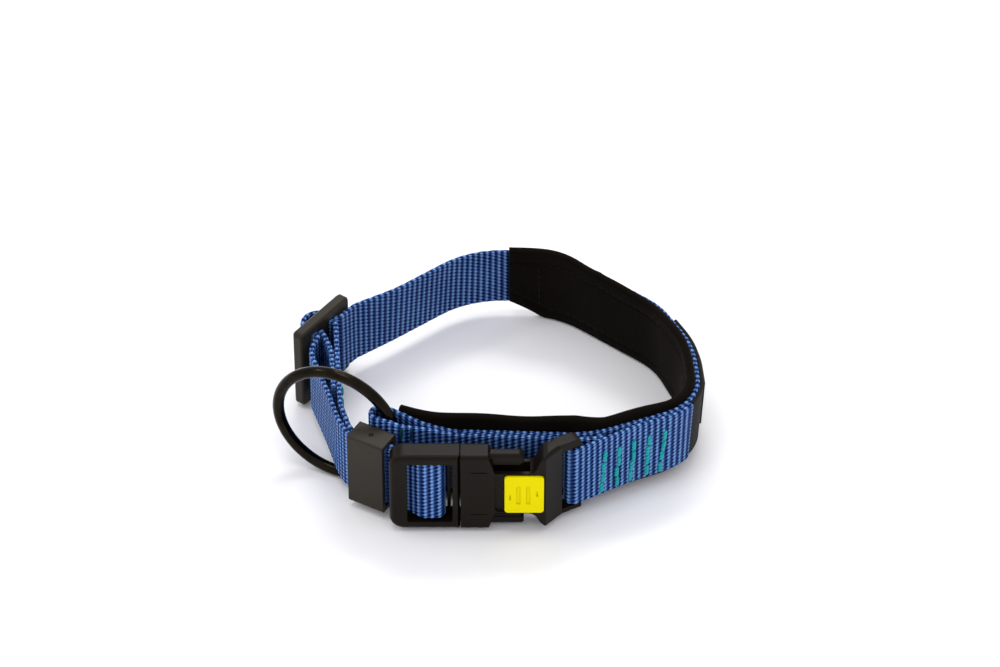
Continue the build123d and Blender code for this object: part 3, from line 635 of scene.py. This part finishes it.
def lining_relief(u, v, side):
    """Stitched channels on the faces, with the foam swelling between them."""
    bulge = 0.12 * MM * np.sin(np.pi * np.clip((v + 5 * MM) / (35 * MM), 0, 1))
    inset = (lining.high - lining.low)[:, None] / 2 - np.abs(v - HALF_WEB)
    line = -np.exp(-((inset - LINING_SEAM) / (0.75 * MM)) ** 2)
    pull = 0.75 + 0.25 * np.cos(2 * np.pi * u / LINING_PITCH)
    ripple = 0.10 * MM * np.sin(u / WAVE) * np.sin(v / (6 * MM) + u / (23 * MM))
    inner = np.where(side < 0, 1.0, 0.25)
    return (line * 0.42 * MM * pull + bulge + ripple) * inner * (np.abs(side) > 0.5)


def lining_wave(u):
    """The upper edge's slight waves, faded out at both ends, and its rise at the rear end."""
    fade, climb, rise = 15 * MM, 30 * MM, 1.5
    ends = np.clip(np.minimum(u, lining.length - u) / fade, 0, 1)
    rear = np.clip((u - lining.length + climb) / climb, 0, 1)
    return MM * (ends * (0.35 * np.sin(u / WAVE) + 0.25 * np.sin(u / (4.3 * MM) + 1))
                 + rise * rear)


lining = Band("neoprene_lining", thickness=3.0 * MM, step=0.8 * MM, start=(-31, -34))
ob = sweep_band("neoprene_lining_sewn", lining, MAT["neoprene"], rows=56, edge=1.35 * MM,
                relief=lining_relief, edge_points=9, wave=lining_wave)
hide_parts("neoprene_lining")
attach(ob, "collar")


# ------------------------------------------------------------------ threads

THREAD_SIDES, THREAD_TWIST = 10, 0.12


def thread(path, radius, out):
    """Vertices, faces and weave values of one twisted thread along a path; out points off the
    cloth."""
    path = np.array(path, float)
    count = len(path)
    d = np.gradient(path, axis=0)
    d /= np.linalg.norm(d, axis=1)[:, None]
    out = np.array(out, float)
    side = np.cross(d, out)
    side /= np.linalg.norm(side, axis=1)[:, None]
    up = np.cross(side, d)
    length = np.concatenate([[0], np.cumsum(np.linalg.norm(np.diff(path, axis=0), axis=1))])
    theta = np.linspace(0, 2 * np.pi, THREAD_SIDES, endpoint=False)
    verts, weave = [], []
    for i in range(count):
        end = min(i, count - 1 - i)
        r = radius * (0.55 if end == 0 else 0.9 if end == 1 else 1.0)
        turn = length[i] / radius * 0.9
        rr = r * (1 + THREAD_TWIST * np.cos(2 * theta + turn))
        verts += (path[i] + np.outer(rr * np.cos(theta), side[i])
                  + np.outer(rr * 0.8 * np.sin(theta), up[i])).tolist()
        weave += [[length[i] / MM, t, 0] for t in theta]
    faces = []
    for i in range(count - 1):
        for j in range(THREAD_SIDES):
            k = (j + 1) % THREAD_SIDES
            near, far = i * THREAD_SIDES, (i + 1) * THREAD_SIDES
            faces.append((near + j, near + k, far + k, far + j))
    faces.append(tuple(range(THREAD_SIDES))[::-1])
    faces.append(tuple(range((count - 1) * THREAD_SIDES, count * THREAD_SIDES)))
    return verts, faces, weave


def stitch(place, along, out, length, radius, height):
    """One stitch lying on cloth: it rises out of the cloth, runs along and dives back."""
    t = np.linspace(-1, 1, 9)
    rise = np.sqrt(np.clip(1 - np.abs(t) ** 3.2, 0, 1)) * height - 0.25 * radius
    path = np.outer(t * length / 2, along) + np.outer(rise, out) + place
    return thread(path, radius, out)


def join_threads(name, group, material):
    verts, faces, weave = [], [], []
    for v, f, w in group:
        base = len(verts)
        verts += v
        faces += [tuple(base + i for i in face) for face in f]
        weave += w
    return new_object(name, verts, faces, material, weave)


def islands(node):
    """The centres of a CAD node's separate solids."""
    mesh = cad(node)
    order, places = welded(mesh)
    parent = list(range(len(places)))

    def root(i):
        while parent[i] != i:
            parent[i] = parent[parent[i]]
            i = parent[i]
        return i

    for p in mesh.polygons:
        first = root(order[p.vertices[0]])
        for i in p.vertices:
            parent[root(order[i])] = first
            first = root(first)
    groups = {}
    for i, place in enumerate(places):
        groups.setdefault(root(i), []).append(place)
    return [np.array(g).mean(0) for g in groups.values()]


TILT = 0.10                                     # the most a single stitch's slant strays
LENGTHS, RADII = (0.92, 1.06), (0.88, 1.1)      # how far single stitches differ in size
SUNKEN, STITCH_RISE = 0.05 * MM, 0.42 * MM


def stitches_on(node, band, length, radius, lean, side, jitter=0.18 * MM):
    """Stitches at a CAD group's places, on one side of a band; their columns lean along it."""
    group = []
    centres = islands(node)
    mid = np.mean([c[2] for c in centres])
    for centre in sorted(centres, key=lambda c: (round(c[0], 3), c[2])):
        place, d, right = band.at(band.nearest(*centre), centre[2])
        shift = lean * (centre[2] - mid) + rng.uniform(-jitter, jitter)
        along = np.array([*(d * lean), 1.0])
        along[:2] += d * rng.uniform(-TILT, TILT)
        along /= np.linalg.norm(along)
        out = np.array([*(right * side), 0.0])
        spot = np.array([*(place + d * shift), centre[2] + rng.uniform(-jitter, jitter)])
        spot += out * (band.half - SUNKEN)
        group.append(stitch(spot, along, out, length * rng.uniform(*LENGTHS),
                            radius * rng.uniform(*RADII), STITCH_RISE))
    return group


def outer_side(band, node):
    """+1 if a CAD group lies on the right of a band's line, else -1."""
    centre = islands(node)[0]
    place, d, right = band.at(band.nearest(*centre), centre[2])
    return 1.0 if np.dot(centre[:2] - place, right) > 0 else -1.0


band = web["buckle_strap"]
side = outer_side(band, "bar_tacks")
direction = 1.0 if band.line[-1][0] > band.line[0][0] else -1.0
group = stitches_on("bar_tacks", band, length=4.3 * MM, radius=0.84 * MM, lean=0.09 * direction,
                    side=side, jitter=0.38 * MM)
ob = join_threads("bar_tack_threads", group, MAT["teal"])
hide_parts("bar_tacks")
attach(ob, "collar")

band = web["strap_ring_loop"]
group = stitches_on("ring_loop_stitches", band, length=5.6 * MM, radius=0.5 * MM, lean=0.0,
                    side=outer_side(band, "ring_loop_stitches"))
# the ring loop's teal stitches take the darkened copy of the teal thread, as painted shade
ob = join_threads("ring_loop_threads", group, MAT["teal_in_painted_shade"])
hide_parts("ring_loop_stitches")
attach(ob, "collar")

band = web["strap_inner_run"]
group = stitches_on("sewn_end_stitches", band, length=4.6 * MM, radius=0.5 * MM, lean=0.0,
                    side=outer_side(band, "sewn_end_stitches"))
ob = join_threads("sewn_end_threads", group, MAT["teal"])
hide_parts("sewn_end_stitches")
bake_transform(ob)

# the lining's perimeter stitching, black on its bare inner face
halfway = len(lining.line) // 2
inner = -1.0 if np.dot(lining.right[halfway], lining.line[halfway]) > 0 else 1.0


def lining_stitch(s, z, lift, upright):
    """One stitch at a distance along the lining and a height, lifted off its middle surface."""
    place, d, right = lining.at(s, z)
    out = np.array([*(right * inner), 0.0])
    spot = np.array([*place, z]) + out * (lining.half + lift)
    along = np.array([0.0, 0, 1] if upright else [*d, 0.0])
    return stitch(spot, along, out, *LINING_STITCH)


SUNK, PROUD = -0.32 * MM, 0.02 * MM     # in the seams' channels, and on the flat at the ends
END_INSET, END_LOW, END_COUNT = 11.5 * MM, 8.6 * MM, 6
group = []
for k in range(4, int(lining.length / LINING_PITCH) - 3):
    s = k * LINING_PITCH
    i = lining.index(s)
    for z in (lining.low[i] + LINING_SEAM, lining.high[i] - LINING_SEAM):
        group.append(lining_stitch(s, z, SUNK, False))
for s in (END_INSET, lining.length - END_INSET):
    for k in range(END_COUNT):
        group.append(lining_stitch(s, END_LOW + k * LINING_PITCH, PROUD, True))
ob = join_threads("lining_threads", group, MAT["black_thread"])
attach(ob, "collar")


# ------------------------------------------------------------------ label

def patch_relief(u, v, side):
    """A seam pressed into the cloth along both long edges."""
    low, high, seam, width, depth = 0.4 * MM, 24.6 * MM, 1.5 * MM, 0.4 * MM, 0.12 * MM
    inset = np.minimum(v - low, high - v)
    return -depth * np.exp(-((inset - seam) / width) ** 2)


patch = Band("label_patch", thickness=1.2 * MM, step=0.5 * MM, start=(73, -16))
ob = sweep_band("label_patch_cloth", patch, MAT["patch"], rows=50, edge=0.4 * MM,
                relief=patch_relief, edge_points=5)
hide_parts("label_patch")
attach(ob, "collar")

badge = Band("label_badge", thickness=0.8 * MM, step=0.4 * MM, start=(74, -13))


def badge_relief(u, v, side):
    """A blank panel inside a raised rim."""
    low, high, rim, slope, depth = 3.0 * MM, 22.0 * MM, 1.4 * MM, 0.4 * MM, 0.22 * MM
    inset = np.minimum(np.minimum(u, badge.length - u), np.minimum(v - low, high - v))
    return -depth * np.clip((inset - rim) / slope, 0, 1)


ob = sweep_band("label_badge_moulded", badge, MAT["badge"], rows=48, edge=0.35 * MM,
                relief=badge_relief, edge_points=5)
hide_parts("label_badge")
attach(ob, "collar")


# ------------------------------------------------------------------ hard pieces, in CAD shape

def coat(node, material):
    mesh = cad(node)
    mesh.materials.clear()
    mesh.materials.append(material)


for node in ("plug_base", "plug_arm_upper", "plug_arm_lower", "buckle_socket"):
    coat(node, MAT["buckle"])
for node in ("slider", "keeper"):
    coat(node, MAT["keeper"])
coat("lock_button", MAT["button"])
coat("o_ring", MAT["ring"])
